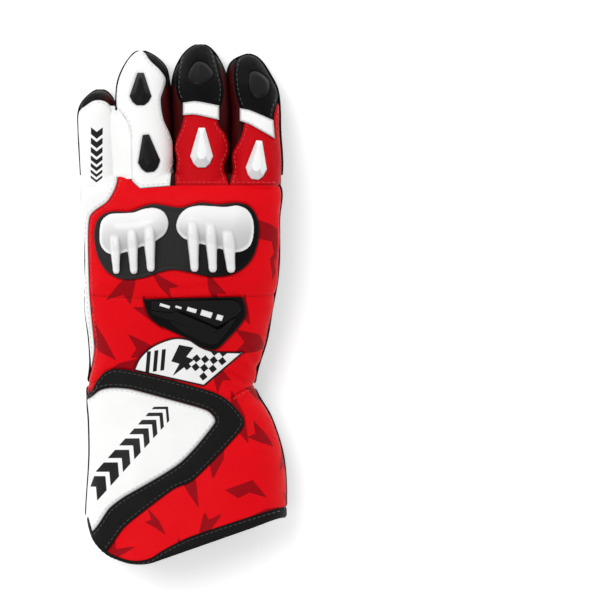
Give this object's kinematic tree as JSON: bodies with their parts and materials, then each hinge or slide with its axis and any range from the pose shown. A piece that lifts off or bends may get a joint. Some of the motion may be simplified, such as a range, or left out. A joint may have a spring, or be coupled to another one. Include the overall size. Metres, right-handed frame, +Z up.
{
  "type": "motorcycle racing glove",
  "caption": "Left-hand motorcycle racing gauntlet glove in red, white and black leather with hard knuckle, wrist and finger guards.",
  "frame": {"origin": "middle of the glove's footprint, on the surface it lies on", "axes": "+Y from the cuff's hem to the fingertips, +X from the little finger's side to the thumb's side, +Z up from the palm through the back"},
  "size_m": [0.13, 0.325, 0.0818],
  "materials": {
    "red_leather": "satin, printed with darker splinter shards",
    "white_leather": "satin",
    "black_leather": "matt, fine grain",
    "binding": "matt, stitched",
    "badge": "smooth printed patch",
    "guard_rubber": "moulded, satin",
    "white_guard": "moulded, glossy",
    "dark_guard": "moulded, satin",
    "vent_insert": "moulded"
  },
  "bodies": {
    "root": {"hand_back": "red_leather", "cuff_back": "red_leather", "middle_finger_back": "red_leather", "index_finger_back": "red_leather", "little_finger_back": "white_leather", "ring_finger_back": "white_leather", "finger_bridge": "white_leather", "flap_panel": "white_leather", "middle_band": "white_leather", "index_band": "white_leather", "middle_finger_cap": "black_leather", "index_finger_cap": "black_leather", "hand_palm": "black_leather", "cuff_under": "black_leather", "little_finger_palm": "black_leather", "ring_finger_palm": "black_leather", "middle_finger_palm": "black_leather", "index_finger_palm": "black_leather", "thumb_back": "black_leather", "thumb_palm": "black_leather", "cuff_binding": "binding", "flap_border": "binding", "wrist_badge": "badge", "knuckle_base": "guard_rubber", "knuckle_shell_outer": "white_guard", "knuckle_shell_inner": "white_guard", "middle_drop": "white_guard", "index_drop": "white_guard", "wrist_plate": "dark_guard", "wrist_plate_cap": "dark_guard", "ring_drop_front": "dark_guard", "ring_drop_rear": "dark_guard", "middle_tip_pad": "dark_guard", "index_tip_pad": "dark_guard", "vent_1": "vent_insert", "vent_2": "vent_insert", "vent_3": "vent_insert", "vent_4": "vent_insert", "vent_5": "vent_insert"}
  },
  "joints": []
}
